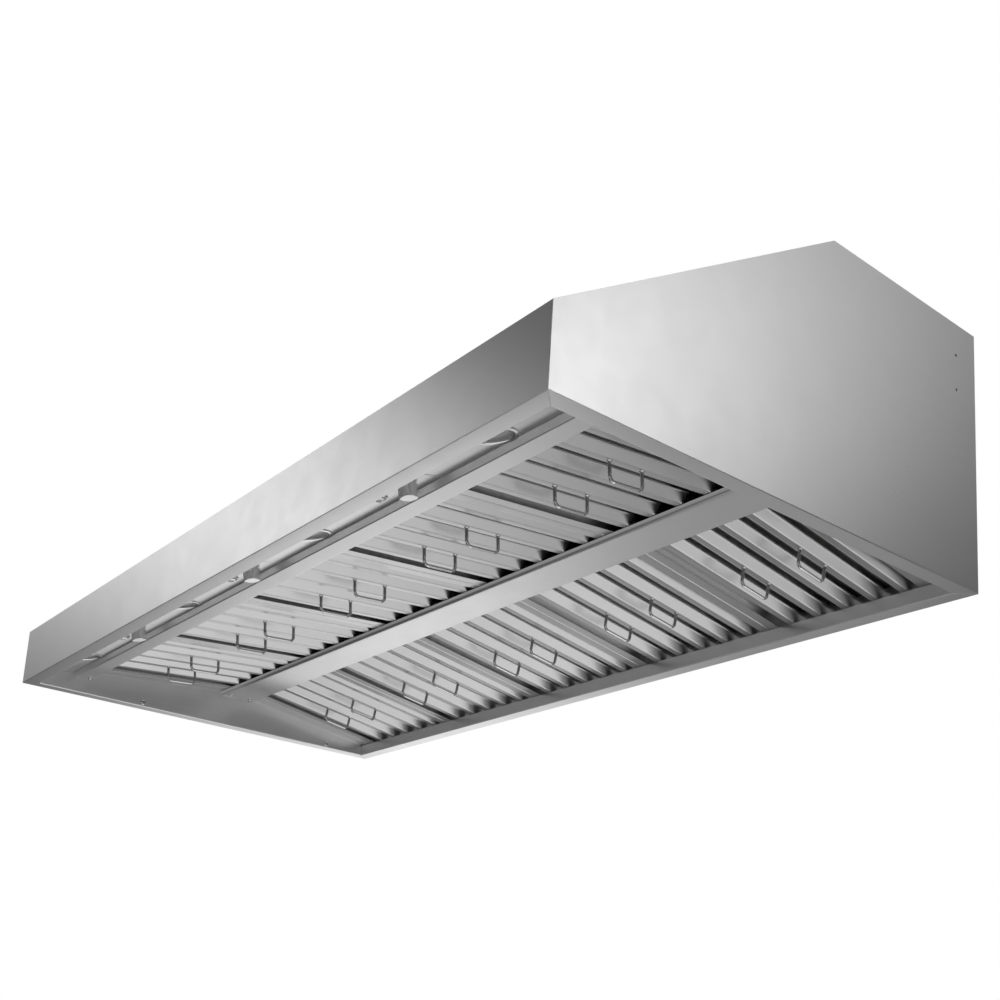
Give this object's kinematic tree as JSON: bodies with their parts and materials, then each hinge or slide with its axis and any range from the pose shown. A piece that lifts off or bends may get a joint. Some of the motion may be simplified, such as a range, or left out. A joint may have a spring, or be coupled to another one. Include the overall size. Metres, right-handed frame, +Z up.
{
  "type": "range hood insert",
  "caption": "Wide range hood canopy with a sloped front, two rows of baffle filters, round lamps, knobs and rockers, with blowers and damped round duct collars above.",
  "frame": {"origin": "middle of the underside, in the plane of the bottom lips", "axes": "+Z up, +X across the hood's width, the front faces -Y"},
  "size_m": [1.829, 0.903, 0.5132],
  "materials": {
    "canopy_steel": "brushed stainless",
    "filter_steel": "bright stainless",
    "handle_wire": "polished stainless wire",
    "lamp_bezel": "satin stainless",
    "lamp_glass": "frosted",
    "black_plastic": "fine matt",
    "knob_metal": "satin turned",
    "galvanised": "galvanised sheet",
    "motor_paint": "semi-matt black",
    "fixings": "plain stainless"
  },
  "bodies": {
    "canopy": {"front_panel": "canopy_steel", "back_panel": "canopy_steel", "top_panel": "canopy_steel", "left_side_panel": "canopy_steel", "right_side_panel": "canopy_steel", "left_liner": "canopy_steel", "right_liner": "canopy_steel", "light_panel": "canopy_steel", "front_rail": "canopy_steel", "centre_beam": "canopy_steel", "rear_gutter": "canopy_steel", "lamp_cans": "lamp_bezel", "lamp_lenses": "lamp_glass", "speed_controls": "black_plastic", "switch_bodies": "black_plastic", "blower_housing_1": "galvanised", "blower_housing_2": "galvanised", "blower_housing_3": "galvanised", "blower_motors": "motor_paint", "duct_collar_1": "galvanised", "duct_collar_2": "galvanised", "duct_collar_3": "galvanised", "junction_box": "galvanised", "junction_box_lid": "galvanised", "screws": "fixings"},
    "knob_1": {"knob_1": "knob_metal"},
    "knob_2": {"knob_2": "knob_metal"},
    "knob_3": {"knob_3": "knob_metal"},
    "rocker_1": {"rocker_1": "knob_metal"},
    "rocker_2": {"rocker_2": "knob_metal"},
    "rocker_3": {"rocker_3": "knob_metal"},
    "blower_wheel_1": {"blower_wheel_1": "galvanised"},
    "blower_wheel_2": {"blower_wheel_2": "galvanised"},
    "blower_wheel_3": {"blower_wheel_3": "galvanised"},
    "front_flap_1": {"front_flap_1": "galvanised"},
    "rear_flap_1": {"rear_flap_1": "galvanised"},
    "front_flap_2": {"front_flap_2": "galvanised"},
    "rear_flap_2": {"rear_flap_2": "galvanised"},
    "front_flap_3": {"front_flap_3": "galvanised"},
    "rear_flap_3": {"rear_flap_3": "galvanised"},
    "front_filter_1": {"front_filter_1": "filter_steel", "front_handles_1": "handle_wire"},
    "front_filter_2": {"front_filter_2": "filter_steel", "front_handles_2": "handle_wire"},
    "front_filter_3": {"front_filter_3": "filter_steel", "front_handles_3": "handle_wire"},
    "front_filter_4": {"front_filter_4": "filter_steel", "front_handles_4": "handle_wire"},
    "front_filter_5": {"front_filter_5": "filter_steel", "front_handles_5": "handle_wire"},
    "rear_filter_1": {"rear_filter_1": "filter_steel", "rear_handles_1": "handle_wire"},
    "rear_filter_2": {"rear_filter_2": "filter_steel", "rear_handles_2": "handle_wire"},
    "rear_filter_3": {"rear_filter_3": "filter_steel", "rear_handles_3": "handle_wire"},
    "rear_filter_4": {"rear_filter_4": "filter_steel", "rear_handles_4": "handle_wire"},
    "rear_filter_5": {"rear_filter_5": "filter_steel", "rear_handles_5": "handle_wire"}
  },
  "joints": [
    {"name": "knob_1_turn", "type": "hinge", "parent": "canopy", "child": "knob_1", "pos_m": [-0.447, -0.3825, 0.03693], "axis": [0, -0.2164, 0.9763], "range_deg": [0, 270]},
    {"name": "knob_2_turn", "type": "hinge", "parent": "canopy", "child": "knob_2", "pos_m": [0.033, -0.3825, 0.03693], "axis": [0, -0.2164, 0.9763], "range_deg": [0, 270]},
    {"name": "knob_3_turn", "type": "hinge", "parent": "canopy", "child": "knob_3", "pos_m": [0.513, -0.3825, 0.03693], "axis": [0, -0.2164, 0.9763], "range_deg": [0, 270]},
    {"name": "rocker_1_tip", "type": "hinge", "parent": "canopy", "child": "rocker_1", "pos_m": [-0.519, -0.38304, 0.03937], "axis": [0, 0.9763, 0.2164], "range_deg": [0, 16]},
    {"name": "rocker_2_tip", "type": "hinge", "parent": "canopy", "child": "rocker_2", "pos_m": [-0.039, -0.38304, 0.03937], "axis": [0, 0.9763, 0.2164], "range_deg": [0, 16]},
    {"name": "rocker_3_tip", "type": "hinge", "parent": "canopy", "child": "rocker_3", "pos_m": [0.441, -0.38304, 0.03937], "axis": [0, 0.9763, 0.2164], "range_deg": [0, 16]},
    {"name": "blower_1_spin", "type": "hinge", "parent": "canopy", "child": "blower_wheel_1", "pos_m": [-0.56, 0.17756, 0.285], "axis": [1, 0, 0], "continuous": true},
    {"name": "blower_2_spin", "type": "hinge", "parent": "canopy", "child": "blower_wheel_2", "pos_m": [0, 0.17756, 0.285], "axis": [1, 0, 0], "continuous": true},
    {"name": "blower_3_spin", "type": "hinge", "parent": "canopy", "child": "blower_wheel_3", "pos_m": [0.56, 0.17756, 0.285], "axis": [1, 0, 0], "continuous": true},
    {"name": "front_flap_1_lift", "type": "hinge", "parent": "canopy", "child": "front_flap_1", "pos_m": [-0.56, 0.2655, 0.4635], "axis": [-1, 0, 0], "range_deg": [0, 80]},
    {"name": "rear_flap_1_lift", "type": "hinge", "parent": "canopy", "child": "rear_flap_1", "pos_m": [-0.56, 0.2655, 0.4635], "axis": [1, 0, 0], "range_deg": [0, 80]},
    {"name": "front_flap_2_lift", "type": "hinge", "parent": "canopy", "child": "front_flap_2", "pos_m": [0, 0.2655, 0.4635], "axis": [-1, 0, 0], "range_deg": [0, 80]},
    {"name": "rear_flap_2_lift", "type": "hinge", "parent": "canopy", "child": "rear_flap_2", "pos_m": [0, 0.2655, 0.4635], "axis": [1, 0, 0], "range_deg": [0, 80]},
    {"name": "front_flap_3_lift", "type": "hinge", "parent": "canopy", "child": "front_flap_3", "pos_m": [0.56, 0.2655, 0.4635], "axis": [-1, 0, 0], "range_deg": [0, 80]},
    {"name": "rear_flap_3_lift", "type": "hinge", "parent": "canopy", "child": "rear_flap_3", "pos_m": [0.56, 0.2655, 0.4635], "axis": [1, 0, 0], "range_deg": [0, 80]},
    {"name": "front_filter_1_slide", "type": "slide", "parent": "canopy", "child": "front_filter_1", "axis": [0, 0.996, 0.0898], "range_m": [0, 0.02656]},
    {"name": "front_filter_2_slide", "type": "slide", "parent": "canopy", "child": "front_filter_2", "axis": [0, 0.996, 0.0898], "range_m": [0, 0.02656]},
    {"name": "front_filter_3_slide", "type": "slide", "parent": "canopy", "child": "front_filter_3", "axis": [0, 0.996, 0.0898], "range_m": [0, 0.02656]},
    {"name": "front_filter_4_slide", "type": "slide", "parent": "canopy", "child": "front_filter_4", "axis": [0, 0.996, 0.0898], "range_m": [0, 0.02656]},
    {"name": "front_filter_5_slide", "type": "slide", "parent": "canopy", "child": "front_filter_5", "axis": [0, 0.996, 0.0898], "range_m": [0, 0.02656]},
    {"name": "rear_filter_1_slide", "type": "slide", "parent": "canopy", "child": "rear_filter_1", "axis": [0, -0.9874, 0.1582], "range_m": [0, 0.01402]},
    {"name": "rear_filter_2_slide", "type": "slide", "parent": "canopy", "child": "rear_filter_2", "axis": [0, -0.9874, 0.1582], "range_m": [0, 0.01402]},
    {"name": "rear_filter_3_slide", "type": "slide", "parent": "canopy", "child": "rear_filter_3", "axis": [0, -0.9874, 0.1582], "range_m": [0, 0.01402]},
    {"name": "rear_filter_4_slide", "type": "slide", "parent": "canopy", "child": "rear_filter_4", "axis": [0, -0.9874, 0.1582], "range_m": [0, 0.01402]},
    {"name": "rear_filter_5_slide", "type": "slide", "parent": "canopy", "child": "rear_filter_5", "axis": [0, -0.9874, 0.1582], "range_m": [0, 0.01402]}
  ]
}
